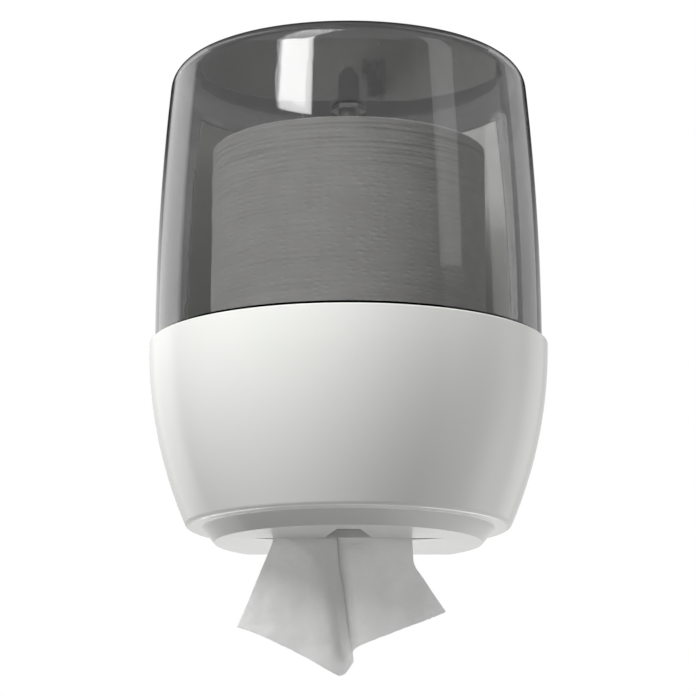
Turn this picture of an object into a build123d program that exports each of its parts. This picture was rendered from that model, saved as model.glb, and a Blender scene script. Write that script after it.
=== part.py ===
"""Wall roll holder: a barrel-shaped centre-feed paper dispenser with a smoked window.

The drop-down cover is a white lower shell screwed to a smoked window. It hangs on
two pins at the foot of a deep white back plate and is held shut by a cam lock in
its roof. The roll stands on a platform in the cover and feeds from its middle,
through a slit in the underside.

Everything is modelled about the barrel's own upright axis, with the exit plate at
height zero, the front facing -Y and the wall at +Y. The finished pieces are then
moved so that the origin is the centre of the wall screws, on the wall plane.
All sizes are in millimetres and all angles in degrees.
"""
import os
from math import cos, hypot, radians, sin, sqrt

from build123d import *

os.makedirs("parts", exist_ok=True)

# Main sizes of the barrel
TOTAL_H = 330.0          # exit plate to roof
RIM_R = 135.0            # white shell at its rim
SEAM_H = 134.6           # rim of the white shell, where the window rises from it
BACK_CUT = 21.0          # the barrel is cut flat at the wall, this far inside its rim
TRAY_DEPTH = 57.0        # wall to the plane where the cover meets the back plate
MOUNT_HEIGHT = 170.0     # exit plate to the middle of the wall screws

# White lower shell
SHELL_WALL = 3.2
SIDE_ARC_R = 305.0       # side of the bowl, upright at the rim
RING_H = 10.0            # flat ring round the exit boss
RING_W = 10.4            # ring from the side to the foot of the boss
BOSS_FLARE = 8.2         # foot of the boss past the exit plate
CORNER_ROUND = 4.0       # ring to side
INNER_ROUND = 1.6
RIM_ROUND = 0.6

# Smoked window
RIM_LEDGE = 3.8          # of the white rim that shows round the window
WINDOW_WALL = 2.6
WINDOW_STRAIGHT = 5.4    # upright part of the window above the seam
WINDOW_ARC_R = 1750.0    # slow lean of the window towards its roof
ROOF_ROUND = 18.0
SKIRT_DEPTH = 12.0       # window wall that stands inside the white shell
FLANGE_W = 9.0
FLANGE_T = 2.4
CAP_DEPTH = 18.0         # top part of the window, which also covers the back plate
GATE_R = 6.0             # shallow mark left by moulding, in the roof
GATE_Y = -44.0
GATE_DEPTH = 0.6

# Gaps and cuts
FIT_GAP = 0.3            # between pieces that are fixed together
RUN_GAP = 0.5            # between pieces that move past each other
PARTING_GAP = 0.8
PIN_PLAY = 0.05          # turning pin or barrel in its bore, on the radius
OVERRUN = 1.0            # every cut runs this far past the face it opens

# Back plate
PLATE_WALL = 3.0
BACK_T = 3.0
FOOT_RISE = 0.5          # floor of the back plate above the hinge axis
RIB_T = 1.8
RIB_DEPTH = 9.0
RIB_X = 22.0
RIB_LEVELS = 3
RIB_END = 42.0           # the ribs stop this far below the plate's top edge
WALL_HOLE_R = 2.75
WALL_HOLE_DX = 80.0
WALL_HOLE_DZ = 150.0
WALL_PAD_R = 9.0
WALL_PAD_H = 4.0

# Hinge
PIN_R = 2.5
PIN_HEAD_R = 4.2
PIN_HEAD_T = 1.6
KNUCKLE_R = 5.5
KNUCKLE_L = 14.0
HINGE_INSET = 29.0       # middle of a knuckle from the edge of the parting plane
EAR_T = 6.0
GUSSET_L = 16.0
CLIP_R = 4.4
CLIP_T = 0.8
CLIP_GAP = 0.1

# Slit and tear notch in the exit plate
SLIT_INSET = 26.3        # end of the slit from the edge of the exit plate
SLIT_FRONT_Y = -27.0
SLIT_WIDE = 14.0
NOTCH_BASE_HALF = 16.0
NOTCH_FRONT_HALF = 7.4
NOTCH_INSET = 18.8       # front of the notch from the edge of the exit plate

# Outlet collar round the slit, inside the shell
COLLAR_WALL = 2.0
COLLAR_H = 12.0
COLLAR_MARGIN = 3.0
COLLAR_FOOT_W = 5.0
COLLAR_TAB_R = 7.0
COLLAR_TAB_X = 30.0

# Roll platform
PLATFORM_H = 59.0        # top face, where the roll stands
PLATFORM_SPARE = 9.4     # the platform stands out past the roll
PLATFORM_T = 2.6
PLATFORM_LIP = 5.0
FUNNEL_TOP_R = 38.0
FUNNEL_NECK_R = 17.0
FUNNEL_NECK_H = 27.0
PLATFORM_RIBS = 8
PLATFORM_RIB_DEPTH = 8.0
POST_R = 5.0
POST_INSET = 23.8        # posts from the edge of the exit plate
POST_COUNT = 4
POST_FIRST_ANGLE = 45.0

# Screws
SCREW_R = 1.6
SCREW_HEAD_R = 3.4
SCREW_HEAD_T = 2.0
SCREW_LENGTH = 9.0
SLOT_W = 0.9
SLOT_DEPTH = 0.8
PILOT_SPARE = 1.5        # blind hole past the screw's end

# Window screws
WINDOW_SCREWS = 7
WINDOW_SCREW_FIRST = 162.0
WINDOW_SCREW_SPAN = 216.0
LUG_R = 4.6
LUG_DEPTH = 18.0

# Cam lock
LOCK_BEHIND = 19.0       # lock behind the parting plane
LOCK_SLEEVE_R = 7.5
LOCK_FLANGE_R = 10.5
LOCK_FLANGE_T = 1.2
LOCK_SLEEVE_L = 28.0
LOCK_NUT_FLAT = 22.0     # across the flats
LOCK_NUT_T = 3.5
BARREL_R = 5.0
SPIGOT_HALF = 2.6        # half the side of the square that drives the cam
KEY_SLOT_L = 6.0
KEY_SLOT_W = 1.6
KEY_SLOT_DEPTH = 5.0
CAM_REACH = 23.0
CAM_W = 10.0
CAM_T = 2.4

# Strike that the cam turns behind
STRIKE_T = 2.0
STRIKE_H = 14.0
STRIKE_LIP_X = 10.0
STRIKE_ARM_X = 27.0
STRIKE_FOOT_W = 13.0
STRIKE_PLAY = 2.0

# Paper
ROLL_ROOM = 41.4         # rim to the roll
ROLL_HEADROOM = 60.7     # roof to the top of the roll
ROLL_BORE_R = 26.0
ROLL_EDGE_ROUND = 1.5
STRAND_TOP_R = 8.0
STRAND_NECK_R = 9.0
STRAND_RISE = 26.0       # strand that stands in the roll's bore
SHEET_T = 1.0
SHEET_SLIT_T = 5.0
SHEET_TOP_LEFT = -49.0
SHEET_TOP_RIGHT = 41.5
SHEET_HEM_LEFT = -73.0
SHEET_HEM_RIGHT = 64.0
SHEET_DROP = 90.0
SHEET_FOLD = 16.0        # how far the folds stand forward and back

# Creases of the hanging sheet from left to right. Each row holds the crease's place along
# the slit, its place along the hem, its drop and how far back it stands.
SHEET_FOLD_SHARES = (
    (0.00, 0.00, 0.64, 0.10),
    (0.09, 0.19, 0.75, -0.35),
    (0.20, 0.34, 0.86, 0.20),
    (0.33, 0.45, 0.97, 0.75),
    (0.42, 0.505, 1.00, -0.30),
    (0.47, 0.545, 0.86, -1.00),
    (0.58, 0.62, 0.78, -0.45),
    (0.80, 0.81, 0.67, 0.25),
    (1.00, 1.00, 0.56, -0.10),
)

# Places worked out from the sizes above
AXIS_REACH = RIM_R - BACK_CUT
PARTING_Y = AXIS_REACH - TRAY_DEPTH
COVER_BACK_Y = PARTING_Y - PARTING_GAP / 2
PLATE_FRONT_Y = PARTING_Y + PARTING_GAP / 2
LOCK_Y = PARTING_Y + LOCK_BEHIND
WINDOW_R = RIM_R - RIM_LEDGE
RIM_INNER_R = RIM_R - SHELL_WALL
ROLL_R = RIM_R - ROLL_ROOM
PLATFORM_R = ROLL_R + PLATFORM_SPARE
REACH = RIM_R + OVERRUN
SHELL_FLOOR_H = SHELL_WALL
HINGE_H = RING_H + KNUCKLE_R
FLOOR_H = HINGE_H + FOOT_RISE
SKIRT_H = SEAM_H - SKIRT_DEPTH
WINDOW_STRAIGHT_H = SEAM_H + WINDOW_STRAIGHT
ROOF_IN_H = TOTAL_H - WINDOW_WALL
CAP_H = TOTAL_H - CAP_DEPTH
PLATE_TOP_H = CAP_H - PARTING_GAP
LOCK_BORE_R = BARREL_R + PIN_PLAY
SHEET_Y = SLIT_FRONT_Y + FIT_GAP + SHEET_SLIT_T / 2


def side_radius(height, inset=0.0):
    """Radius of the white bowl at a height, moved inwards by the inset."""
    arc = SIDE_ARC_R - inset
    return RIM_R - SIDE_ARC_R + sqrt(arc**2 - (SEAM_H - height) ** 2)


def window_radius(height, inset=0.0):
    """Radius of the window at a height, moved inwards by the inset."""
    if height <= WINDOW_STRAIGHT_H:
        return WINDOW_R - inset
    arc = WINDOW_ARC_R - inset
    return WINDOW_R - WINDOW_ARC_R + sqrt(arc**2 - (height - WINDOW_STRAIGHT_H) ** 2)


# Sizes that follow from the bowl's curve
BOSS_FOOT_R = side_radius(RING_H) - RING_W
PLATE_R = BOSS_FOOT_R - BOSS_FLARE
SLIT_HALF = PLATE_R - SLIT_INSET
NOTCH_FRONT_Y = NOTCH_INSET - PLATE_R
POST_CIRCLE_R = PLATE_R - POST_INSET
HINGE_X = sqrt(side_radius(HINGE_H) ** 2 - PARTING_Y**2) - HINGE_INSET


def turned(edges, rounds=()):
    """Solid of revolution about the upright axis; rounds are (radius, height, fillet)."""
    face = make_face(edges)
    for place_r, place_h, fillet_r in rounds:
        corner = min(face.vertices(), key=lambda v: hypot(v.X - place_r, v.Y - place_h))
        face = fillet(corner, fillet_r)
    return revolve(Plane.XZ * face, Axis.Z)


def block(low, high):
    """Box between two corners."""
    size = [b - a for a, b in zip(low, high)]
    middle = [(a + b) / 2 for a, b in zip(low, high)]
    return Pos(*middle) * Box(*size)


def rod(radius, length, start, direction="Z"):
    """Round bar from a start point along +X, +Y or +Z."""
    plane = {
        "X": Plane(origin=start, x_dir=(0, 1, 0), z_dir=(1, 0, 0)),
        "Y": Plane(origin=start, x_dir=(1, 0, 0), z_dir=(0, 1, 0)),
        "Z": Plane(origin=start),
    }[direction]
    return extrude(plane * Circle(radius), length)


def lower_side(inset, low, high):
    """Arc of the bowl's side between two heights."""
    middle = (low + high) / 2
    return ThreePointArc(
        (side_radius(low, inset), low),
        (side_radius(middle, inset), middle),
        (side_radius(high, inset), high),
    )


def window_side(inset, low, high):
    """Straight foot and leaning arc of the window between two heights."""
    middle = (WINDOW_STRAIGHT_H + high) / 2
    foot = Line((window_radius(low, inset), low), (WINDOW_R - inset, WINDOW_STRAIGHT_H))
    lean = ThreePointArc(
        (WINDOW_R - inset, WINDOW_STRAIGHT_H),
        (window_radius(middle, inset), middle),
        (window_radius(high, inset), high),
    )
    return [foot, lean]


def chain(*points):
    """Straight edges through a list of points."""
    return [Line(a, b) for a, b in zip(points, points[1:])]


def bowl():
    """Turned wall of the white shell, all the way round."""
    inner_floor_h = RING_H + SHELL_WALL
    outer_r = side_radius(RING_H)
    inner_r = side_radius(inner_floor_h, SHELL_WALL)
    edges = chain((0, 0), (PLATE_R, 0), (BOSS_FOOT_R, RING_H), (outer_r, RING_H))
    edges += [lower_side(0, RING_H, SEAM_H)]
    edges += chain((RIM_R, SEAM_H), (RIM_INNER_R, SEAM_H))
    edges += [lower_side(SHELL_WALL, inner_floor_h, SEAM_H)]
    edges += chain(
        (inner_r, inner_floor_h),
        (BOSS_FOOT_R - SHELL_WALL, inner_floor_h),
        (PLATE_R - SHELL_WALL, SHELL_FLOOR_H),
        (0, SHELL_FLOOR_H),
        (0, 0),
    )
    rounds = (
        (outer_r, RING_H, CORNER_ROUND),
        (inner_r, inner_floor_h, INNER_ROUND),
        (BOSS_FOOT_R, RING_H, INNER_ROUND),
        (RIM_R, SEAM_H, RIM_ROUND),
    )
    return turned(edges, rounds)


def hood():
    """Turned wall, roof and inner flange of the window, all the way round."""
    skirt_in_r = WINDOW_R - WINDOW_WALL
    roof_r = window_radius(TOTAL_H)
    roof_in_r = window_radius(ROOF_IN_H, WINDOW_WALL)
    flange_r = skirt_in_r - FLANGE_W
    edges = window_side(0, SKIRT_H, TOTAL_H)
    edges += chain((roof_r, TOTAL_H), (0, TOTAL_H), (0, ROOF_IN_H), (roof_in_r, ROOF_IN_H))
    edges += window_side(WINDOW_WALL, SKIRT_H + FLANGE_T, ROOF_IN_H)
    edges += chain(
        (skirt_in_r, SKIRT_H + FLANGE_T),
        (flange_r, SKIRT_H + FLANGE_T),
        (flange_r, SKIRT_H),
        (WINDOW_R, SKIRT_H),
    )
    rounds = (
        (roof_r, TOTAL_H, ROOF_ROUND),
        (roof_in_r, ROOF_IN_H, ROOF_ROUND - WINDOW_WALL),
    )
    return turned(edges, rounds)


def hood_filled():
    """Window without its hollow, to trim the flat back of its cap."""
    roof_r = window_radius(TOTAL_H)
    edges = window_side(0, SKIRT_H, TOTAL_H)
    edges += chain((roof_r, TOTAL_H), (0, TOTAL_H), (0, SKIRT_H), (WINDOW_R, SKIRT_H))
    return turned(edges, ((roof_r, TOTAL_H, ROOF_ROUND),))


def tray(inset, low, high):
    """Filled barrel between two heights, used outside and inside the back plate."""
    edges = chain((0, low), (side_radius(low, inset), low))
    edges += [lower_side(inset, low, SEAM_H)]
    edges += chain((side_radius(SEAM_H, inset), SEAM_H), (window_radius(SEAM_H, inset), SEAM_H))
    edges += window_side(inset, SEAM_H, high)
    edges += chain((window_radius(high, inset), high), (0, high), (0, low))
    return turned(edges)


def slit_outline():
    """Pointed slit with a straight front edge and a curved back edge."""
    left = (-SLIT_HALF, SLIT_FRONT_Y)
    right = (SLIT_HALF, SLIT_FRONT_Y)
    back = (0, SLIT_FRONT_Y + SLIT_WIDE)
    return make_face([Line(left, right), ThreePointArc(right, back, left)])


def collar_outline(margin):
    """Long rounded outline that stands outside the slit by the margin."""
    outline = SlotOverall(2 * (SLIT_HALF + margin), SLIT_WIDE + 2 * margin)
    return Pos(0, SLIT_FRONT_Y + SLIT_WIDE / 2) * outline


def notch_outline():
    """Tear notch that opens forward from the middle of the slit."""
    return make_face(
        chain(
            (-NOTCH_BASE_HALF, SLIT_FRONT_Y + OVERRUN),
            (-NOTCH_BASE_HALF, SLIT_FRONT_Y),
            (-NOTCH_FRONT_HALF, NOTCH_FRONT_Y),
            (NOTCH_FRONT_HALF, NOTCH_FRONT_Y),
            (NOTCH_BASE_HALF, SLIT_FRONT_Y),
            (NOTCH_BASE_HALF, SLIT_FRONT_Y + OVERRUN),
            (-NOTCH_BASE_HALF, SLIT_FRONT_Y + OVERRUN),
        )
    )


def post_places():
    """Plan places of the posts that carry the platform."""
    step = 360.0 / POST_COUNT
    angles = [radians(POST_FIRST_ANGLE + step * i) for i in range(POST_COUNT)]
    return [(POST_CIRCLE_R * cos(a), POST_CIRCLE_R * sin(a)) for a in angles]


def window_screw_places():
    """Plan places of the screws in the window's flange, on the front of the barrel."""
    circle_r = WINDOW_R - WINDOW_WALL - FLANGE_W / 2
    step = WINDOW_SCREW_SPAN / (WINDOW_SCREWS - 1)
    angles = [radians(WINDOW_SCREW_FIRST + step * i) for i in range(WINDOW_SCREWS)]
    return [(circle_r * cos(a), circle_r * sin(a)) for a in angles]


def collar_screw_places():
    """Plan places of the two screws behind the slit."""
    y = SLIT_FRONT_Y + SLIT_WIDE + COLLAR_MARGIN + 2 * COLLAR_WALL + SCREW_R + FIT_GAP
    return [(side * COLLAR_TAB_X, y) for side in (-1, 1)]


def screw(length=SCREW_LENGTH):
    """Cheese-head screw with a slot, head up, with its seat at the origin."""
    body = rod(SCREW_R, length, (0, 0, -length))
    body += rod(SCREW_HEAD_R, SCREW_HEAD_T, (0, 0, 0))
    reach = SCREW_HEAD_R + OVERRUN
    low = (-reach, -SLOT_W / 2, SCREW_HEAD_T - SLOT_DEPTH)
    return body - block(low, (reach, SLOT_W / 2, SCREW_HEAD_T + OVERRUN))


def pilot(x, y, seat_h, clear=0.0):
    """Hole that a screw drives into; the clearance makes it a through hole's size."""
    depth = SCREW_LENGTH + PILOT_SPARE
    return rod(SCREW_R + clear, depth + OVERRUN, (x, y, seat_h - depth))


def hinge_ranges(side):
    """Low and high X of the cover's knuckle and of the two ears beside it."""
    knuckle = (HINGE_X - KNUCKLE_L / 2, HINGE_X + KNUCKLE_L / 2)
    inner = (knuckle[0] - RUN_GAP - EAR_T, knuckle[0] - RUN_GAP)
    outer = (knuckle[1] + RUN_GAP, knuckle[1] + RUN_GAP + EAR_T)
    spans = [knuckle, inner, outer]
    return [tuple(sorted((side * a, side * b))) for a, b in spans]


def cover_knuckle(side):
    """Barrel of the hinge on the white shell, with the block that carries it."""
    low_x, high_x = hinge_ranges(side)[0]
    barrel = rod(KNUCKLE_R, high_x - low_x, (low_x, PARTING_Y, HINGE_H), "X")
    back = (high_x, PARTING_Y, HINGE_H + KNUCKLE_R)
    gusset = block((low_x, COVER_BACK_Y - GUSSET_L, SHELL_FLOOR_H / 2), back)
    return barrel + gusset


def knuckle_relief(side):
    """Space in the white shell for the ears of the back plate and the pin's two ends."""
    pin_end = CLIP_T + CLIP_GAP + PIN_HEAD_T + RUN_GAP
    spans = [x for span in hinge_ranges(side) for x in span]
    start = (min(spans) - pin_end, PARTING_Y, HINGE_H)
    return rod(KNUCKLE_R + RUN_GAP, max(spans) - min(spans) + 2 * pin_end, start, "X")


def lower_shell():
    """White bowl with its boss, slit, notch, posts, lugs and hinge knuckles."""
    shell = bowl()
    shell -= block((-REACH, COVER_BACK_Y, -OVERRUN), (REACH, REACH, SEAM_H + OVERRUN))
    shell -= extrude(Pos(0, 0, -OVERRUN) * slit_outline(), SHELL_WALL + 2 * OVERRUN)
    shell -= extrude(Pos(0, 0, -OVERRUN) * notch_outline(), SHELL_WALL + 2 * OVERRUN)
    post_top = PLATFORM_H - PLATFORM_T - PLATFORM_RIB_DEPTH - FIT_GAP
    for x, y in post_places():
        shell += rod(POST_R, post_top - SHELL_FLOOR_H / 2, (x, y, SHELL_FLOOR_H / 2))
        shell -= pilot(x, y, post_top)
    envelope = bowl_filled()
    lug_top = SKIRT_H - FIT_GAP
    for x, y in window_screw_places():
        reach = 1 + (LUG_R + SHELL_WALL) / hypot(x, y)
        column = rod(LUG_R, LUG_DEPTH, (x, y, lug_top - LUG_DEPTH))
        web = rod(LUG_R, LUG_DEPTH, (x * reach, y * reach, lug_top - LUG_DEPTH))
        shell += (column + web) & envelope
        shell -= pilot(x, y, lug_top)
    for x, y in collar_screw_places():
        shell += rod(SCREW_R + COLLAR_WALL, SCREW_LENGTH, (x, y, SHELL_FLOOR_H / 2))
        shell -= pilot(x, y, SHELL_FLOOR_H / 2 + SCREW_LENGTH)
    for side in (-1, 1):
        shell -= knuckle_relief(side)
        shell += cover_knuckle(side)
        low_x, high_x = hinge_ranges(side)[0]
        start = (low_x - OVERRUN, PARTING_Y, HINGE_H)
        shell -= rod(PIN_R + PIN_PLAY, high_x - low_x + 2 * OVERRUN, start, "X")
    return shell


def bowl_filled():
    """Bowl without its hollow, to trim what is built on its inner wall."""
    edges = chain((0, RING_H), (side_radius(RING_H), RING_H))
    edges += [lower_side(0, RING_H, SEAM_H)]
    edges += chain((RIM_R, SEAM_H), (0, SEAM_H), (0, RING_H))
    barrel = turned(edges)
    return barrel - block((-REACH, COVER_BACK_Y, -OVERRUN), (REACH, REACH, SEAM_H + OVERRUN))


def smoked_window():
    """Window wall, open at the back below its cap, with its flange and the lock hole."""
    window = hood()
    window -= block((-REACH, COVER_BACK_Y, -OVERRUN), (REACH, REACH, CAP_H))
    wall_side = (-REACH, AXIS_REACH - FIT_GAP, -OVERRUN)
    window -= block(wall_side, (REACH, REACH, TOTAL_H + OVERRUN))
    back_low = (-REACH, AXIS_REACH - FIT_GAP - WINDOW_WALL, CAP_H)
    window += hood_filled() & block(back_low, (REACH, AXIS_REACH - FIT_GAP, TOTAL_H))
    lock_start = (0, LOCK_Y, ROOF_IN_H - OVERRUN)
    window -= rod(LOCK_SLEEVE_R + FIT_GAP / 2, WINDOW_WALL + 2 * OVERRUN, lock_start)
    window -= rod(GATE_R, GATE_DEPTH + OVERRUN, (0, GATE_Y, TOTAL_H - GATE_DEPTH))
    for x, y in window_screw_places():
        window -= pilot(x, y, SKIRT_H + FLANGE_T, FIT_GAP / 2)
    return window


def window_screws():
    """Screws that hold the window's flange to the lugs of the white shell."""
    return [Pos(x, y, SKIRT_H + FLANGE_T) * screw() for x, y in window_screw_places()]


def back_plate():
    """Deep tray behind the parting plane, with ribs, screw pads and hinge ears."""
    plate = tray(0, FLOOR_H, PLATE_TOP_H)
    hollow = tray(PLATE_WALL, FLOOR_H + PLATE_WALL, TOTAL_H)
    hollow -= block((-REACH, AXIS_REACH - BACK_T, 0), (REACH, REACH, TOTAL_H + OVERRUN))
    plate -= hollow
    plate -= block((-REACH, -REACH, 0), (REACH, PLATE_FRONT_Y, TOTAL_H + OVERRUN))
    plate -= block((-REACH, AXIS_REACH, 0), (REACH, REACH, TOTAL_H + OVERRUN))
    plate += back_ribs() & tray(PLATE_WALL / 2, FLOOR_H + PLATE_WALL / 2, PLATE_TOP_H)
    for x, h in wall_hole_places():
        start = (x, AXIS_REACH - BACK_T - WALL_PAD_H, h)
        plate += rod(WALL_PAD_R, WALL_PAD_H + BACK_T, start, "Y")
    for x, h in wall_hole_places():
        start = (x, AXIS_REACH - BACK_T - WALL_PAD_H - OVERRUN, h)
        plate -= rod(WALL_HOLE_R, WALL_PAD_H + BACK_T + 2 * OVERRUN, start, "Y")
    for x, h in strike_screw_places():
        plate -= rod(SCREW_R, BACK_T + 2 * OVERRUN, (x, AXIS_REACH - BACK_T - OVERRUN, h), "Y")
    for side in (-1, 1):
        plate = hinge_ears(plate, side)
    return plate


def wall_hole_places():
    """X and height of the four wall screws."""
    half_x = WALL_HOLE_DX / 2
    half_z = WALL_HOLE_DZ / 2
    return [(sx * half_x, MOUNT_HEIGHT + sz * half_z) for sx in (-1, 1) for sz in (-1, 1)]


def back_ribs():
    """Two upright ribs and a few level ones on the inside of the back wall."""
    front = AXIS_REACH - BACK_T - RIB_DEPTH
    back = AXIS_REACH - BACK_T / 2
    top = PLATE_TOP_H - RIB_END
    ribs = block((RIB_X, front, FLOOR_H), (RIB_X + RIB_T, back, top))
    ribs += block((-RIB_X - RIB_T, front, FLOOR_H), (-RIB_X, back, top))
    step = WALL_HOLE_DZ / (RIB_LEVELS - 1) / 2
    for i in range(RIB_LEVELS):
        low_h = MOUNT_HEIGHT + step * (i - (RIB_LEVELS - 1) / 2) - RIB_T / 2
        ribs += block((-REACH, front, low_h), (REACH, back, low_h + RIB_T))
    return ribs


def hinge_ears(plate, side):
    """Ears that hold the pin, and the pocket between them for the cover's knuckle."""
    knuckle, inner, outer = hinge_ranges(side)
    low_x = knuckle[0] - RUN_GAP
    start = (low_x, PARTING_Y, HINGE_H)
    plate -= rod(KNUCKLE_R + RUN_GAP, knuckle[1] - knuckle[0] + 2 * RUN_GAP, start, "X")
    for ear_low, ear_high in (inner, outer):
        ear = rod(KNUCKLE_R, ear_high - ear_low, (ear_low, PARTING_Y, HINGE_H), "X")
        arm_low = (ear_low, PARTING_Y, HINGE_H)
        arm_high = (ear_high, PARTING_Y + 2 * KNUCKLE_R, HINGE_H + KNUCKLE_R)
        plate += ear + block(arm_low, arm_high)
    spans = inner + outer
    reach = PIN_HEAD_T + CLIP_T + 2 * CLIP_GAP
    start = (min(spans) - reach, PARTING_Y, HINGE_H)
    plate -= rod(PIN_R, max(spans) - min(spans) + 2 * reach, start, "X")
    for end_x in (min(spans) - reach, max(spans)):
        end = (end_x, PARTING_Y, HINGE_H)
        plate -= rod(CLIP_R + RUN_GAP, reach, end, "X")
    return plate


def hinge_pin(side):
    """Steel pin with a head at its outer end."""
    spans = hinge_ranges(side)
    low_x = min(a for a, _ in spans)
    high_x = max(b for _, b in spans)
    tail = CLIP_T + CLIP_GAP + PIN_HEAD_T
    if side > 0:
        pin = rod(PIN_R, high_x - low_x + tail, (low_x - tail, PARTING_Y, HINGE_H), "X")
        return pin + rod(PIN_HEAD_R, PIN_HEAD_T, (high_x, PARTING_Y, HINGE_H), "X")
    pin = rod(PIN_R, high_x - low_x + tail, (low_x, PARTING_Y, HINGE_H), "X")
    return pin + rod(PIN_HEAD_R, PIN_HEAD_T, (low_x - PIN_HEAD_T, PARTING_Y, HINGE_H), "X")


def pin_clips():
    """Push-on clips on the inner ends of the two pins."""
    clips = []
    for side in (-1, 1):
        spans = hinge_ranges(side)
        inner_x = min(abs(x) for span in spans for x in span)
        low_x = inner_x - CLIP_GAP - CLIP_T if side > 0 else -inner_x + CLIP_GAP
        clip = rod(CLIP_R, CLIP_T, (low_x, PARTING_Y, HINGE_H), "X")
        start = (low_x - OVERRUN, PARTING_Y, HINGE_H)
        clips.append(clip - rod(PIN_R, CLIP_T + 2 * OVERRUN, start, "X"))
    return clips


def roll_platform():
    """Round platform with a raised lip, a funnel in its middle and ribs below."""
    under = PLATFORM_H - PLATFORM_T
    edges = chain(
        (FUNNEL_TOP_R, PLATFORM_H),
        (PLATFORM_R - PLATFORM_T, PLATFORM_H),
        (PLATFORM_R - PLATFORM_T, PLATFORM_H + PLATFORM_LIP),
        (PLATFORM_R, PLATFORM_H + PLATFORM_LIP),
        (PLATFORM_R, under),
        (FUNNEL_TOP_R + PLATFORM_T, under),
        (FUNNEL_NECK_R + PLATFORM_T, FUNNEL_NECK_H),
        (FUNNEL_NECK_R, FUNNEL_NECK_H),
        (FUNNEL_TOP_R, PLATFORM_H),
    )
    platform = turned(edges)
    for i in range(PLATFORM_RIBS):
        rib = block(
            (FUNNEL_TOP_R, -RIB_T / 2, under - PLATFORM_RIB_DEPTH),
            (PLATFORM_R - PLATFORM_T, RIB_T / 2, under + PLATFORM_T / 2),
        )
        platform += Rot(0, 0, 360.0 * i / PLATFORM_RIBS) * rib
    for x, y in post_places():
        start = (x, y, under - PLATFORM_RIB_DEPTH)
        platform += rod(POST_R, PLATFORM_RIB_DEPTH + PLATFORM_T / 2, start)
    recess = SCREW_HEAD_T + FIT_GAP
    for x, y in post_places():
        start = (x, y, FUNNEL_NECK_H)
        platform -= rod(SCREW_R + FIT_GAP / 2, PLATFORM_H - FUNNEL_NECK_H, start)
        platform -= rod(SCREW_HEAD_R + FIT_GAP, recess + OVERRUN, (x, y, PLATFORM_H - recess))
    return platform


def platform_screws():
    """Screws sunk in the platform, long enough to pass its bosses and bite in the posts."""
    seat_h = PLATFORM_H - SCREW_HEAD_T - FIT_GAP
    length = SCREW_LENGTH + PLATFORM_RIB_DEPTH
    return [Pos(x, y, seat_h) * screw(length) for x, y in post_places()]


def outlet_collar():
    """Collar that stands round the slit inside the shell and squares up the paper."""
    foot_h = SHELL_FLOOR_H + FIT_GAP
    foot_margin = COLLAR_MARGIN + COLLAR_WALL + COLLAR_FOOT_W
    collar = extrude(Pos(0, 0, foot_h) * collar_outline(foot_margin), COLLAR_WALL)
    collar += extrude(Pos(0, 0, foot_h) * collar_outline(COLLAR_MARGIN + COLLAR_WALL), COLLAR_H)
    seat_h = SHELL_FLOOR_H / 2 + SCREW_LENGTH
    for x, y in collar_screw_places():
        collar += rod(COLLAR_TAB_R, seat_h + FIT_GAP + COLLAR_WALL - foot_h, (x, y, foot_h))
        collar -= rod(SCREW_R + COLLAR_WALL + FIT_GAP, seat_h + FIT_GAP, (x, y, 0))
    collar -= extrude(collar_outline(COLLAR_MARGIN), COLLAR_H + 2 * foot_h)
    collar -= extrude(notch_outline(), COLLAR_H + 2 * foot_h)
    for x, y in collar_screw_places():
        collar -= rod(SCREW_R + FIT_GAP / 2, 2 * SCREW_LENGTH, (x, y, 0))
    return collar


def collar_screws():
    """Two screws that hold the outlet collar."""
    seat_h = SHELL_FLOOR_H / 2 + SCREW_LENGTH + FIT_GAP + COLLAR_WALL
    return [Pos(x, y, seat_h) * screw() for x, y in collar_screw_places()]


def lock_sleeve():
    """Threaded sleeve of the cam lock, with its flange on the roof."""
    low_h = TOTAL_H + LOCK_FLANGE_T - LOCK_SLEEVE_L
    sleeve = rod(LOCK_SLEEVE_R, LOCK_SLEEVE_L, (0, LOCK_Y, low_h))
    sleeve += rod(LOCK_FLANGE_R, LOCK_FLANGE_T, (0, LOCK_Y, TOTAL_H))
    return sleeve - rod(LOCK_BORE_R, LOCK_SLEEVE_L + 2 * OVERRUN, (0, LOCK_Y, low_h - OVERRUN))


def lock_nut():
    """Hexagon nut that clamps the sleeve from under the roof."""
    low_h = ROOF_IN_H - LOCK_NUT_T
    hexagon = RegularPolygon(LOCK_NUT_FLAT / 2, 6, major_radius=False)
    nut = extrude(Pos(0, LOCK_Y, low_h) * hexagon, LOCK_NUT_T)
    return nut - rod(LOCK_SLEEVE_R, LOCK_NUT_T + 2 * OVERRUN, (0, LOCK_Y, low_h - OVERRUN))


def cam_height():
    """Underside of the cam."""
    return TOTAL_H + LOCK_FLANGE_T - LOCK_SLEEVE_L - RUN_GAP - CAM_T


def lock_barrel():
    """Barrel that turns in the sleeve, with a plain key slot and a spigot for the cam."""
    top_h = TOTAL_H + LOCK_FLANGE_T
    low_h = cam_height() + CAM_T
    barrel = rod(BARREL_R, top_h - low_h, (0, LOCK_Y, low_h))
    half = SPIGOT_HALF
    barrel += block((-half, LOCK_Y - half, cam_height()), (half, LOCK_Y + half, low_h))
    barrel -= rod(SCREW_R, SCREW_LENGTH + PILOT_SPARE, (0, LOCK_Y, cam_height()))
    low = (-KEY_SLOT_L / 2, LOCK_Y - KEY_SLOT_W / 2, top_h - KEY_SLOT_DEPTH)
    high = (KEY_SLOT_L / 2, LOCK_Y + KEY_SLOT_W / 2, top_h + OVERRUN)
    return barrel - block(low, high)


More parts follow.
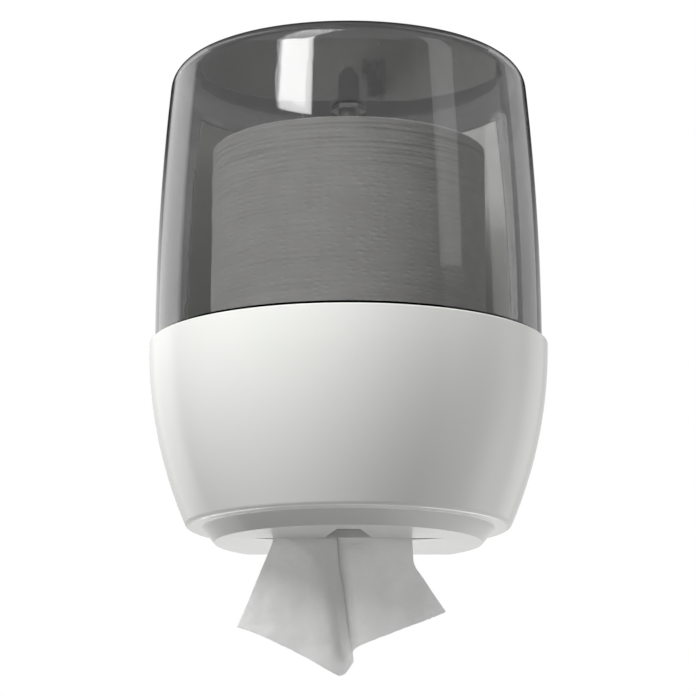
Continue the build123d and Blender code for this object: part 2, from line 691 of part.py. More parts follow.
def lock_cam():
    """Flat cam on the barrel's square, pointing at the wall when unlocked."""
    low_h = cam_height()
    cam = rod(CAM_W / 2, CAM_T, (0, LOCK_Y, low_h))
    tip_y = LOCK_Y + CAM_REACH - CAM_W / 2
    cam += block((-CAM_W / 2, LOCK_Y, low_h), (CAM_W / 2, tip_y, low_h + CAM_T))
    cam += rod(CAM_W / 2, CAM_T, (0, tip_y, low_h))
    half = SPIGOT_HALF
    low = (-half, LOCK_Y - half, low_h - OVERRUN)
    return cam - block(low, (half, LOCK_Y + half, low_h + CAM_T + OVERRUN))


def cam_screw():
    """Screw under the cam that keeps it on the barrel."""
    return Pos(0, LOCK_Y, cam_height()) * Rot(180, 0, 0) * screw()


def strike_levels():
    """Low and high height of the strike, with the cam about its middle."""
    middle = cam_height() + CAM_T / 2
    return middle - STRIKE_H / 2, middle + STRIKE_H / 2


def strike_plate():
    """Bent steel strike: foot on the back wall, arm forward, lip across the cam."""
    low_h, high_h = strike_levels()
    lip_y = LOCK_Y - CAM_W / 2 - STRIKE_PLAY
    wall_y = AXIS_REACH - BACK_T
    lip = block((STRIKE_LIP_X, lip_y - STRIKE_T, low_h), (STRIKE_ARM_X, lip_y, high_h))
    arm_low = (STRIKE_ARM_X - STRIKE_T, lip_y - STRIKE_T, low_h)
    arm = block(arm_low, (STRIKE_ARM_X, wall_y, high_h))
    foot_low = (STRIKE_ARM_X - STRIKE_FOOT_W, wall_y - STRIKE_T, low_h)
    foot = block(foot_low, (STRIKE_ARM_X, wall_y, high_h))
    strike = lip + arm + foot
    for x, h in strike_screw_places():
        strike -= rod(SCREW_R, BACK_T + STRIKE_T, (x, wall_y - STRIKE_T - OVERRUN, h), "Y")
    return strike


def strike_screw_places():
    """X and height of the two screws in the strike's foot."""
    low_h, high_h = strike_levels()
    x = STRIKE_ARM_X - STRIKE_T - (STRIKE_FOOT_W - STRIKE_T) / 2
    return [(x, low_h + STRIKE_H / 4), (x, high_h - STRIKE_H / 4)]


def strike_screws():
    """Short screws through the strike's foot that end inside the back wall."""
    seat_y = AXIS_REACH - BACK_T - STRIKE_T
    made = Rot(90, 0, 0) * screw(STRIKE_T + BACK_T - FIT_GAP)
    return [Pos(x, seat_y, h) * made for x, h in strike_screw_places()]


def paper_roll():
    """Wound roll with the open middle that the paper is drawn from."""
    base_h = PLATFORM_H + FIT_GAP
    top_h = TOTAL_H - ROLL_HEADROOM
    edges = chain(
        (ROLL_BORE_R, base_h),
        (ROLL_R, base_h),
        (ROLL_R, top_h),
        (ROLL_BORE_R, top_h),
        (ROLL_BORE_R, base_h),
    )
    return turned(edges, ((ROLL_R, top_h, ROLL_EDGE_ROUND),))


def paper_tail():
    """Sheet that hangs from the slit, fanned out and folded, as one thin closed solid."""
    ribs = []
    for top_share, hem_share, drop_share, fold_share in SHEET_FOLD_SHARES:
        top_x = SHEET_TOP_LEFT + top_share * (SHEET_TOP_RIGHT - SHEET_TOP_LEFT)
        hem_x = SHEET_HEM_LEFT + hem_share * (SHEET_HEM_RIGHT - SHEET_HEM_LEFT)
        hem_y = SHEET_Y + fold_share * SHEET_FOLD
        hem_h = -drop_share * SHEET_DROP
        half = SHEET_T / 2
        ribs.append(
            Face(
                Wire.make_polygon(
                    [
                        (top_x, SHEET_Y - half, 0),
                        (top_x, SHEET_Y + half, 0),
                        (hem_x, hem_y + half, hem_h),
                        (hem_x, hem_y - half, hem_h),
                    ]
                )
            )
        )
    return loft(ribs, ruled=True)


def paper_strand():
    """Gathered strand from the roll's bore through the funnel to the slit."""
    middle_x = (SHEET_TOP_LEFT + SHEET_TOP_RIGHT) / 2
    half = (SHEET_TOP_RIGHT - SHEET_TOP_LEFT) / 2
    collar_top = SHELL_FLOOR_H + COLLAR_H + 2 * FIT_GAP
    sections = [
        Pos(middle_x, SHEET_Y, 0) * Ellipse(half, SHEET_SLIT_T / 2),
        Pos(middle_x, SHEET_Y, COLLAR_H / 2) * Ellipse(half, SHEET_SLIT_T / 2),
        Pos(0, SHEET_Y, collar_top) * Ellipse(2 * STRAND_NECK_R, STRAND_NECK_R / 2),
        Pos(0, 0, FUNNEL_NECK_H) * Circle(STRAND_NECK_R),
        Pos(0, 0, PLATFORM_H + STRAND_RISE) * Circle(STRAND_TOP_R),
    ]
    return loft(sections, ruled=True)


def build():
    """Every sub-part under its node's name."""
    return {
        "back_plate": back_plate(),
        "strike_plate": strike_plate(),
        "strike_screws": strike_screws(),
        "hinge_pin_left": hinge_pin(-1),
        "hinge_pin_right": hinge_pin(1),
        "pin_clips": pin_clips(),
        "lower_shell": lower_shell(),
        "smoked_window": smoked_window(),
        "window_screws": window_screws(),
        "roll_platform": roll_platform(),
        "platform_screws": platform_screws(),
        "outlet_collar": outlet_collar(),
        "collar_screws": collar_screws(),
        "lock_sleeve": lock_sleeve(),
        "lock_nut": lock_nut(),
        "lock_barrel": lock_barrel(),
        "lock_cam": lock_cam(),
        "cam_screw": cam_screw(),
        "paper_roll": paper_roll(),
        "paper_strand": paper_strand(),
        "paper_tail": paper_tail(),
    }


for name, made in build().items():
    pieces = made if isinstance(made, list) else [made]
    solids = [solid for piece in pieces for solid in piece.solids()]
    moved = Pos(0, -AXIS_REACH, -MOUNT_HEIGHT) * Compound(children=solids)
    export_step(moved, f"parts/{name}.step")
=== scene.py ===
import math

import bmesh
import bpy
from mathutils import Matrix, Vector, noise


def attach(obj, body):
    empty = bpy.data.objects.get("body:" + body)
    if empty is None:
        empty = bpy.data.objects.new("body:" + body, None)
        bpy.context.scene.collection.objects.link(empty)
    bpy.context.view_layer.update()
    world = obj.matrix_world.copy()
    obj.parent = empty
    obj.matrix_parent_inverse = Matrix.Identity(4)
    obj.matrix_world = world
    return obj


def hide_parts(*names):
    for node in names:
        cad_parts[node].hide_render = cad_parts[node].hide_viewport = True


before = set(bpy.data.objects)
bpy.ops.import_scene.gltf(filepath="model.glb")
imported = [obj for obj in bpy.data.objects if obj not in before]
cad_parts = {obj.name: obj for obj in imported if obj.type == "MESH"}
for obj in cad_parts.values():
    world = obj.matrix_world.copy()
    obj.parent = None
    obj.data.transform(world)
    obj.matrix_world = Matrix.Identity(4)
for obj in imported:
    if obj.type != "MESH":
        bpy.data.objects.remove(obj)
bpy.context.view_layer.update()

# The barrel's upright axis stands in front of the wall; heights count from the exit plate.
MM = 0.001
AXIS_REACH = 114.0
MOUNT_HEIGHT = 170.0

# Wound roll
ROLL_OUTER = 93.6
ROLL_BORE = 26.0
ROLL_LOW = 59.3
ROLL_TOP = 269.3
ROLL_AROUND = 240
LAYER = 0.8
ROLL_EDGE_ROUND = 1.2
ROLL_FOOT_ROUND = 1.5
ROLL_SIDE_ROWS = 200
ROLL_BORE_ROWS = 16
ROLL_FOOT_RINGS = 12
ROLL_EDGE_STEPS = 4
PAINTED_ROW_SHADE = (45.0, 8.0)         # below the roll's top: where the painted shade in fine rows begins to show and is full
PAINTED_ROW_SHADE_LEAST = 0.25
TURNING_R = 1.0                 # of the circle that the roll's outline is turned on, in metres

# Smoked window. Its foot is painted black up to a line above the rim, painted shade along the seam. Light
# runs along inside the rounding between roof and wall, so the front of the rounding looks darker than the
# wall.
WINDOW_TOP = 330.0
FOOT_LINE = 136.9
ROOF_THICK = 2.8
ROOF_LOSS = 0.3
ROUNDING_R = 104.0              # where the flat roof ends
ROUNDING_LOSS = 0.93
ROUNDING_BELOW_TOP = (4.8, 3.6)
ROUNDING_IN_FRONT = (5.0, 75.0)
SMOKE = 0.345
SMOKE_EDGE = 0.02
SMOKE_STOPS = ((0.0, SMOKE), (0.6, SMOKE), (0.86, SMOKE_EDGE))
LAMP_LIGHT_STOPS = ((0.14, 0.45), (0.3, 0.88), (0.48, 0.78), (0.62, 0.5), (0.8, 0.2))

# Depth of the fine grain on moulded and plated surfaces, and of the paper's pressed dashes, in metres
GRAIN_DEPTH = 0.00002
DASH_DEPTH = 0.0002

# Camera, fitted to the circles of the holder
CAMERA_AT = (0.0, -1.869, -0.407)
CAMERA_TILT = 11.57
CAMERA_LENS = 136.6
CAMERA_SHIFT = (-0.0007, 0.0237)
CAMERA_SENSOR = 36.0
CAMERA_SIGHT = 20.0             # metres


def place(x, y, z):
    """Point of the barrel's own frame, in millimetres, as a point of the scene."""
    return Vector((x * MM, (y - AXIS_REACH) * MM, (z - MOUNT_HEIGHT) * MM))


def add_camera():
    data = bpy.data.cameras.new("camera")
    data.lens = CAMERA_LENS
    data.sensor_width = CAMERA_SENSOR
    data.shift_x, data.shift_y = CAMERA_SHIFT
    data.clip_end = CAMERA_SIGHT
    camera = bpy.data.objects.new("camera", data)
    camera.location = CAMERA_AT
    camera.rotation_euler = (math.radians(90 + CAMERA_TILT), 0, 0)
    bpy.context.collection.objects.link(camera)
    bpy.context.scene.camera = camera


def new_material(name):
    material = bpy.data.materials.new(name)
    material.use_nodes = True
    shader = material.node_tree.nodes["Principled BSDF"]
    return material, material.node_tree.nodes, material.node_tree.links, shader


def object_noise(nodes, links, scale, detail=2.0, stretch=(1, 1, 1)):
    """Noise on object coordinates, stretched along an axis."""
    coords = nodes.new("ShaderNodeTexCoord")
    mapping = nodes.new("ShaderNodeMapping")
    mapping.inputs["Scale"].default_value = stretch
    texture = nodes.new("ShaderNodeTexNoise")
    texture.inputs["Scale"].default_value = scale
    texture.inputs["Detail"].default_value = detail
    links.new(coords.outputs["Object"], mapping.inputs["Vector"])
    links.new(mapping.outputs["Vector"], texture.inputs["Vector"])
    return texture


def grey_stops(stops):
    """Ramp stops of (place, level) as greys."""
    return [(place_at, (level, level, level)) for place_at, level in stops]


def ramp(nodes, links, source, stops):
    """Colour ramp of (place, colour) stops on a factor."""
    node = nodes.new("ShaderNodeValToRGB")
    while len(node.color_ramp.elements) < len(stops):
        node.color_ramp.elements.new(0.5)
    for element, (place_at, colour) in zip(node.color_ramp.elements, stops):
        element.position = place_at
        element.color = (*colour, 1.0)
    links.new(source, node.inputs["Fac"])
    return node


def calculate(nodes, links, operation, *values):
    """Math node on sockets or numbers."""
    node = nodes.new("ShaderNodeMath")
    node.operation = operation
    for value, target in zip(values, node.inputs):
        if isinstance(value, bpy.types.NodeSocket):
            links.new(value, target)
        else:
            target.default_value = value
    return node.outputs[0]


def object_place(nodes, links):
    """Object coordinates, with their part from the wall and their upright part."""
    spot = nodes.new("ShaderNodeTexCoord").outputs["Object"]
    parts = nodes.new("ShaderNodeSeparateXYZ")
    links.new(spot, parts.inputs[0])
    return spot, parts.outputs["Y"], parts.outputs["Z"]


def between(nodes, links, source, low, high, least=0.0, most=1.0):
    """Share of the way from one place to another, kept from least to most."""
    node = nodes.new("ShaderNodeMapRange")
    node.inputs["From Min"].default_value = low
    node.inputs["From Max"].default_value = high
    node.inputs["To Min"].default_value = least
    node.inputs["To Max"].default_value = most
    links.new(source, node.inputs["Value"])
    return node.outputs[0]


def scene_height(height):
    """Height over the exit plate as a height of the scene."""
    return (height - MOUNT_HEIGHT) * MM


def add_bump(nodes, links, shader, height, distance, strength=1.0):
    bump = nodes.new("ShaderNodeBump")
    bump.inputs["Distance"].default_value = distance
    bump.inputs["Strength"].default_value = strength
    links.new(height, bump.inputs["Height"])
    links.new(bump.outputs["Normal"], shader.inputs["Normal"])


def plastic(name, dark, light, rough):
    """Moulded plastic with faint mottling in its colour, gloss and surface."""
    material, nodes, links, shader = new_material(name)
    mottle = object_noise(nodes, links, 9.0, 3.0)
    tone = ramp(nodes, links, mottle.outputs["Fac"], ((0.3, dark), (0.7, light)))
    links.new(tone.outputs["Color"], shader.inputs["Base Color"])
    haze = ramp(nodes, links, mottle.outputs["Fac"], grey_stops(((0.3, rough * 0.9), (0.7, rough * 1.15))))
    links.new(haze.outputs["Color"], shader.inputs["Roughness"])
    flow = object_noise(nodes, links, 260.0, 2.0)
    add_bump(nodes, links, shader, flow.outputs["Fac"], GRAIN_DEPTH)
    return material


def metal(name, dark, light, rough):
    """Plain or plated metal with a fine even grain."""
    material, nodes, links, shader = new_material(name)
    shader.inputs["Metallic"].default_value = 1.0
    grain = object_noise(nodes, links, 400.0, 3.0)
    tone = ramp(nodes, links, grain.outputs["Fac"], ((0.35, dark), (0.65, light)))
    links.new(tone.outputs["Color"], shader.inputs["Base Color"])
    haze = ramp(nodes, links, grain.outputs["Fac"], grey_stops(((0.3, rough * 0.8), (0.7, rough * 1.2))))
    links.new(haze.outputs["Color"], shader.inputs["Roughness"])
    add_bump(nodes, links, shader, grain.outputs["Fac"], GRAIN_DEPTH)
    return material


def window_light(nodes, links):
    """Share of the tint's light that a spot of the window lets through."""
    spot, from_wall, height = object_place(nodes, links)
    # Painted shade: below the foot line the window's colour is black
    past_foot = calculate(nodes, links, "GREATER_THAN", height, scene_height(FOOT_LINE))
    from_axis = nodes.new("ShaderNodeVectorMath")
    from_axis.operation = "MULTIPLY_ADD"
    from_axis.inputs[1].default_value = (1, 1, 0)
    from_axis.inputs[2].default_value = (0, AXIS_REACH * MM, 0)
    links.new(spot, from_axis.inputs[0])
    reach = nodes.new("ShaderNodeVectorMath")
    reach.operation = "LENGTH"
    links.new(from_axis.outputs[0], reach.inputs[0])
    past_roof = calculate(nodes, links, "GREATER_THAN", reach.outputs["Value"], ROUNDING_R * MM)
    front_start, front_full = (-(AXIS_REACH + ahead) * MM for ahead in ROUNDING_IN_FRONT)
    in_front = between(nodes, links, from_wall, front_start, front_full)
    start, full = (scene_height(WINDOW_TOP - below) for below in ROUNDING_BELOW_TOP)
    climb = between(nodes, links, height, start, full, most=ROUNDING_LOSS)
    in_zone = calculate(nodes, links, "MULTIPLY", past_roof, in_front)
    rounding = calculate(nodes, links, "MULTIPLY", in_zone, climb)
    in_roof = calculate(nodes, links, "GREATER_THAN", height, scene_height(WINDOW_TOP - ROOF_THICK))
    roof = calculate(nodes, links, "MULTIPLY", in_roof, ROOF_LOSS)
    lost = calculate(nodes, links, "MAXIMUM", rounding, roof)
    return calculate(nodes, links, "MULTIPLY", past_foot, calculate(nodes, links, "SUBTRACT", 1.0, lost))


def smoked_clear():
    """Smoked clear plastic, darker where it is looked along; lamps reach what stands behind it."""
    material, nodes, links, shader = new_material("smoked_clear")
    shader.inputs["Transmission Weight"].default_value = 1.0
    shader.inputs["Roughness"].default_value = 0.02
    shader.inputs["IOR"].default_value = 1.49
    facing = nodes.new("ShaderNodeLayerWeight")
    facing.inputs["Blend"].default_value = 0.5
    tint = ramp(nodes, links, facing.outputs["Facing"], grey_stops(SMOKE_STOPS))
    shaded = nodes.new("ShaderNodeVectorMath")
    shaded.operation = "SCALE"
    links.new(tint.outputs["Color"], shaded.inputs[0])
    links.new(window_light(nodes, links), shaded.inputs["Scale"])
    links.new(shaded.outputs[0], shader.inputs["Base Color"])
    for_lamps = nodes.new("ShaderNodeBsdfTransparent")
    film = ramp(nodes, links, facing.outputs["Facing"], grey_stops(LAMP_LIGHT_STOPS))
    links.new(film.outputs["Color"], for_lamps.inputs["Color"])
    rays = nodes.new("ShaderNodeLightPath")
    mix = nodes.new("ShaderNodeMixShader")
    links.new(rays.outputs["Is Shadow Ray"], mix.inputs["Fac"])
    links.new(shader.outputs["BSDF"], mix.inputs[1])
    links.new(for_lamps.outputs["BSDF"], mix.inputs[2])
    links.new(mix.outputs["Shader"], nodes["Material Output"].inputs["Surface"])
    return material


def soft_paper(name, dark, light, glow, row_shade=None):
    """Soft tissue: fibres, mottling and rows of small pressed dashes; for the roll, painted shade in fine
    dark rows, strongest near its top.
    """
    material, nodes, links, shader = new_material(name)
    shader.inputs["Roughness"].default_value = 0.95
    shader.inputs["Sheen Weight"].default_value = 0.15
    shader.inputs["Subsurface Weight"].default_value = glow
    shader.inputs["Subsurface Radius"].default_value = (1.0, 1.0, 1.0)
    shader.inputs["Subsurface Scale"].default_value = 0.003
    mottle = object_noise(nodes, links, 60.0, 4.0)
    tone = ramp(nodes, links, mottle.outputs["Fac"], ((0.3, dark), (0.7, light)))
    colour = tone.outputs["Color"]
    # Painted shade: fine dark rows over the colour, full near the roll's top and a quarter as strong lower
    # down, standing in for the shading of the winding's ripples
    if row_shade:
        level = object_noise(nodes, links, 1.0, 3.0, (14.0, 14.0, 620.0))
        lines = ramp(nodes, links, level.outputs["Fac"], grey_stops(((0.34, row_shade), (0.5, 1.0))))
        height = object_place(nodes, links)[2]
        start, full = (scene_height(ROLL_TOP - below) for below in PAINTED_ROW_SHADE)
        near_top = between(nodes, links, height, start, full, least=PAINTED_ROW_SHADE_LEAST)
        shade = nodes.new("ShaderNodeMix")
        shade.data_type = "RGBA"
        shade.blend_type = "MULTIPLY"
        links.new(near_top, shade.inputs[0])
        links.new(colour, shade.inputs[6])
        links.new(lines.outputs["Color"], shade.inputs[7])
        colour = shade.outputs[2]
    links.new(colour, shader.inputs["Base Color"])
    fibre = object_noise(nodes, links, 900.0, 3.0)
    coords = nodes.new("ShaderNodeTexCoord")
    stretched = nodes.new("ShaderNodeMapping")
    stretched.inputs["Scale"].default_value = (0.45, 0.45, 1.0)
    links.new(coords.outputs["Object"], stretched.inputs["Vector"])
    dashes = nodes.new("ShaderNodeTexVoronoi")
    dashes.inputs["Scale"].default_value = 300.0
    dashes.inputs["Randomness"].default_value = 0.55
    links.new(stretched.outputs["Vector"], dashes.inputs["Vector"])
    pressed = ramp(nodes, links, dashes.outputs["Distance"], grey_stops(((0.15, 0.0), (0.4, 1.0))))
    both = calculate(nodes, links, "MULTIPLY_ADD", fibre.outputs["Fac"], 0.35, pressed.outputs["Color"])
    add_bump(nodes, links, shader, both, DASH_DEPTH, 0.5)
    return material


white = plastic("white_gloss", (0.875, 0.885, 0.85), (0.90, 0.908, 0.878), 0.2)
grey = plastic("grey_moulded", (0.55, 0.56, 0.56), (0.62, 0.63, 0.63), 0.45)
steel = metal("steel_plain", (0.50, 0.51, 0.52), (0.62, 0.63, 0.64), 0.3)
zinc = metal("zinc_plated", (0.58, 0.58, 0.585), (0.66, 0.66, 0.665), 0.5)
smoked = smoked_clear()
# The hanging sheet and the wound roll are one tissue: the sheet's lighter colour is painted light and the
# roll's darker colour is painted shade; the roll's last number sets the strength of its painted row shade
sheet_paper = soft_paper("sheet_paper", (0.86, 0.865, 0.85), (0.91, 0.91, 0.90), 0.6)
roll_paper = soft_paper("roll_paper", (0.75, 0.745, 0.725), (0.82, 0.815, 0.795), 0.0, 0.72)

SLOT_MATERIALS = {
    "white_plastic": white,
    "grey_plastic": grey,
    "steel": steel,
    "zinc": zinc,
    "smoked_plastic": smoked,
    "paper": sheet_paper,
}
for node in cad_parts.values():
    for material_slot in node.material_slots:
        material_slot.material = SLOT_MATERIALS[material_slot.material.name.split(".")[0]]


def curve_between(values, share):
    """Smooth line through evenly spaced values, at a share of its length."""
    place_on = share * (len(values) - 1)
    index = min(int(place_on), len(values) - 2)
    local = place_on - index
    before = values[max(index - 1, 0)]
    start, end = values[index], values[index + 1]
    after = values[min(index + 2, len(values) - 1)]
    slope_in = (end - before) / 2
    slope_out = (after - start) / 2
    square, cube = local * local, local ** 3
    return (
        start * (2 * cube - 3 * square + 1)
        + slope_in * (cube - 2 * square + local)
        + end * (3 * square - 2 * cube)
        + slope_out * (cube - square)
    )


def mesh_object(name, points, faces, material):
    mesh = bpy.data.meshes.new(name)
    mesh.from_pydata(points, [], faces)
    mesh.materials.append(material)
    mesh.shade_smooth()
    piece = bpy.data.objects.new(name, mesh)
    bpy.context.collection.objects.link(piece)
    return piece


def grid_faces(rows, columns, closed=False):
    """Quads of a grid of points stored row after row; closed joins the last column to the first."""
    faces = []
    for row in range(rows - 1):
        for column in range(columns if closed else columns - 1):
            after = (column + 1) % columns
            faces.append((
                row * columns + column,
                row * columns + after,
                (row + 1) * columns + after,
                (row + 1) * columns + column,
            ))
    return faces


def settle(piece):
    """Apply a piece's modifiers, join doubled points and turn its faces outwards."""
    graph = bpy.context.evaluated_depsgraph_get()
    mesh = bpy.data.meshes.new_from_object(piece.evaluated_get(graph))
    piece.modifiers.clear()
    old = piece.data
    piece.data = mesh
    bpy.data.meshes.remove(old)
    shape = bmesh.new()
    shape.from_mesh(mesh)
    bmesh.ops.remove_doubles(shape, verts=shape.verts, dist=0.000001)
    bmesh.ops.recalc_face_normals(shape, faces=shape.faces)
    shape.to_mesh(mesh)
    shape.free()
    mesh.shade_smooth()


# Hanging sheet. Each crease is six points from the slit to the hem: sideways, how far back
# of the slit's middle, and height. A sharp crease breaks the curve across the sheet.
SLIT_Y = -24.2
CREASES = (
    (
        (-49.2, 0.0, 1.0), (-51.1, -1.0, -5.5), (-53.7, -2.0, -12.0),
        (-59.6, -3.0, -26.5), (-66.1, -4.0, -42.9), (-72.9, -5.0, -58.7),
    ),
    (
        (-47.2, -1.0, 1.0), (-48.8, -1.5, -6.3), (-50.3, -2.0, -15.7),
        (-54.2, -3.0, -31.7), (-58.6, -4.0, -48.1), (-61.8, -5.0, -62.5),
    ),
    (
        (-44.5, -1.5, 1.0), (-44.4, -2.0, -7.3), (-44.3, -3.0, -18.8),
        (-46.1, -4.0, -36.1), (-48.6, -5.0, -52.6), (-50.5, -5.5, -67.5),
    ),
    (
        (-42.5, -2.0, 1.0), (-36.5, -2.5, -8.7), (-32.5, -3.5, -20.3),
        (-30.4, -4.5, -40.3), (-29.7, -5.5, -58.6), (-29.6, -6.0, -77.7),
    ),
    (
        (-40.5, -1.5, 1.0), (-28.6, -3.0, -9.4), (-21.3, -4.0, -20.2),
        (-17.3, -5.0, -40.1), (-13.4, -6.0, -62.3), (-11.4, -6.5, -88.2),
    ),
    (
        (-24.1, 4.0, 1.0), (-17.5, 3.0, -8.5), (-12.2, 2.5, -19.2),
        (-8.2, 2.0, -39.1), (-4.9, 1.0, -62.9), (-3.6, 0.0, -89.8),
    ),
    (
        (-5.0, 9.0, 1.0), (-4.3, 9.0, -7.7), (-3.0, 8.0, -18.5),
        (-0.3, 7.0, -38.5), (1.6, 5.0, -59.8), (3.3, 2.0, -81.0),
    ),
    (
        (-7.6, -1.0, 1.0), (-6.9, -4.0, -9.5), (-6.2, -6.0, -20.5),
        (-2.9, -7.0, -38.3), (-1.0, -7.0, -58.5), (2.3, -6.0, -76.2),
    ),
    (
        (-2.3, 0.0, 1.0), (-0.3, -1.5, -9.1), (1.6, -2.5, -19.8),
        (3.6, -3.5, -37.2), (4.9, -4.0, -54.4), (6.8, -4.5, -71.3),
    ),
    (
        (18.1, -1.0, 1.0), (18.8, -2.5, -9.3), (20.0, -4.0, -20.2),
        (21.9, -5.0, -34.9), (24.5, -5.5, -49.3), (27.1, -6.0, -63.3),
    ),
    (
        (35.3, -1.0, 1.0), (36.6, -2.0, -8.3), (38.5, -3.5, -18.4),
        (43.0, -5.5, -29.6), (47.6, -6.5, -41.5), (51.4, -7.5, -54.3),
    ),
    (
        (41.9, 0.0, 1.0), (42.5, -1.0, -8.1), (43.5, -3.0, -17.9),
        (49.7, -5.0, -27.7), (55.9, -7.0, -37.6), (63.7, -9.0, -49.6),
    ),
)
SHARP_CREASES = (0, 6, 7, 11)
SHEET_ROWS = 72
SPAN_STEPS = 14
SHEET_THICK = 0.0003            # metres
# Crumple of the soft paper over its folds, sway of the whole sheet and torn hem, in millimetres,
# each with how finely it repeats
CRUMPLE, CRUMPLE_SCALE = 0.9, 55
PUCKER, PUCKER_SCALE = 0.12, 320
SWAY, SWAY_SCALE = 1.5, 0.05
TORN, TORN_SCALE = 0.5, 0.9
HELD_SHARE = 0.25               # of the sheet's length, over which the slit stills the crumple


def sheet_points():
    """Grid of the sheet's middle surface, with the crumple of soft paper laid over its folds."""
    columns = []
    for first, last in zip(SHARP_CREASES, SHARP_CREASES[1:]):
        steps = (last - first) * SPAN_STEPS
        for step in range(1 if first else 0, steps + 1):
            columns.append((first, last, step / steps))
    points = []
    for row in range(SHEET_ROWS + 1):
        down = row / SHEET_ROWS
        crossing = [
            [curve_between([point[axis] for point in crease], down) for axis in range(3)]
            for crease in CREASES
        ]
        for first, last, share in columns:
            span = crossing[first:last + 1]
            x, back, height = (curve_between([point[axis] for point in span], share) for axis in range(3))
            spot = place(x, SLIT_Y + back, height)
            loose = min(1.0, down / HELD_SHARE)
            crumple = noise.fractal(spot * CRUMPLE_SCALE, 0.9, 2.2, 4) * CRUMPLE
            pucker = noise.noise(spot * PUCKER_SCALE) * PUCKER
            sway = noise.noise(Vector((x * SWAY_SCALE, down * 1.5, 3.0))) * SWAY * down
            spot.y += (crumple + pucker + sway) * loose * MM
            torn = noise.noise(Vector((x * TORN_SCALE, 0.0, 7.0))) * TORN * down ** 12
            spot.z += torn * MM
            points.append(spot)
    return points, len(columns)


def add_sheet():
    points, columns = sheet_points()
    piece = mesh_object("hanging_sheet", points, grid_faces(SHEET_ROWS + 1, columns), sheet_paper)
    solid = piece.modifiers.new("ply", "SOLIDIFY")
    solid.thickness = SHEET_THICK
    solid.offset = 0
    settle(piece)
    return piece


# Gathered strand: middle (sideways, from the wall side of the axis), half width, half depth, height
STRAND_SECTIONS = (
    (-3.75, -24.2, 43.0, 1.9, 0.6),
    (-3.75, -24.2, 42.0, 2.0, 3.0),
    (-2.5, -23.5, 36.0, 3.0, 8.0),
    (0.0, -19.5, 20.0, 4.6, 15.0),
    (0.0, -10.0, 11.5, 6.4, 24.0),
    (0.0, -3.0, 8.4, 7.6, 33.0),
    (0.0, 0.0, 7.6, 7.6, 44.0),
    (0.0, 0.5, 7.4, 7.4, 58.0),
    (0.0, 0.0, 7.0, 7.0, 72.0),
    (0.0, 0.0, 5.0, 5.0, 84.0),
)
STRAND_ROWS = 90
STRAND_AROUND = 96
STRAND_PLEATS = 11
STRAND_TWIST = 2.2


def add_strand():
    """Paper drawn together from the roll's middle to the slit, with pleats that twist."""
    points = []
    for row in range(STRAND_ROWS + 1):
        up = row / STRAND_ROWS
        x, y, half_x, half_y, height = (
            curve_between([section[axis] for section in STRAND_SECTIONS], up) for axis in range(5)
        )
        for step in range(STRAND_AROUND):
            angle = 2 * math.pi * step / STRAND_AROUND
            pleat = math.sin(STRAND_PLEATS * angle + STRAND_TWIST * up * 2 * math.pi)
            around = Vector((math.cos(angle) * 2, math.sin(angle) * 2, up * 6))
            swell = 0.9 + 0.09 * pleat + 0.08 * noise.noise(around)
            across, back = half_x * math.cos(angle) * swell, half_y * math.sin(angle) * swell
            points.append(place(x + across, y + back, height))
    faces = grid_faces(STRAND_ROWS + 1, STRAND_AROUND, closed=True)
    faces.append(tuple(reversed(range(STRAND_AROUND))))
    faces.append(tuple(range(STRAND_ROWS * STRAND_AROUND, (STRAND_ROWS + 1) * STRAND_AROUND)))
    piece = mesh_object("gathered_strand", points, faces, sheet_paper)
    settle(piece)
    return piece


def roll_profile():
    """Closed outline of half the roll's section: bore, bottom, wound side and ragged top."""
    tall = ROLL_TOP - ROLL_LOW
    edge_r = ROLL_OUTER - ROLL_EDGE_ROUND
    side_low = ROLL_LOW + ROLL_FOOT_ROUND
    side_tall = tall - ROLL_FOOT_ROUND - ROLL_EDGE_ROUND
    outline = []
    for step in range(ROLL_BORE_ROWS):
        outline.append((ROLL_BORE, ROLL_TOP - tall * step / ROLL_BORE_ROWS))
    for step in range(ROLL_FOOT_RINGS):
        wide = ROLL_OUTER - ROLL_FOOT_ROUND - ROLL_BORE
        outline.append((ROLL_BORE + wide * step / ROLL_FOOT_RINGS, ROLL_LOW))
    for step in range(ROLL_SIDE_ROWS):
        outline.append((ROLL_OUTER, side_low + side_tall * step / ROLL_SIDE_ROWS))
    for step in range(ROLL_EDGE_STEPS):
        turn = math.pi / 2 * step / ROLL_EDGE_STEPS
        out, up = ROLL_EDGE_ROUND * math.cos(turn), ROLL_EDGE_ROUND * math.sin(turn)
        outline.append((edge_r + out, ROLL_TOP - ROLL_EDGE_ROUND + up))
    layers = round((edge_r - ROLL_BORE) / LAYER)
    for step in range(layers):
        outline.append((edge_r - (edge_r - ROLL_BORE) * step / layers, ROLL_TOP))
    mesh = bpy.data.meshes.new("roll_outline")
    count = len(outline)
    points = [((radius - TURNING_R / MM) * MM, (ROLL_LOW - height) * MM, 0) for radius, height in outline]
    mesh.from_pydata(points, [(step, (step + 1) % count) for step in range(count)], [])
    return mesh


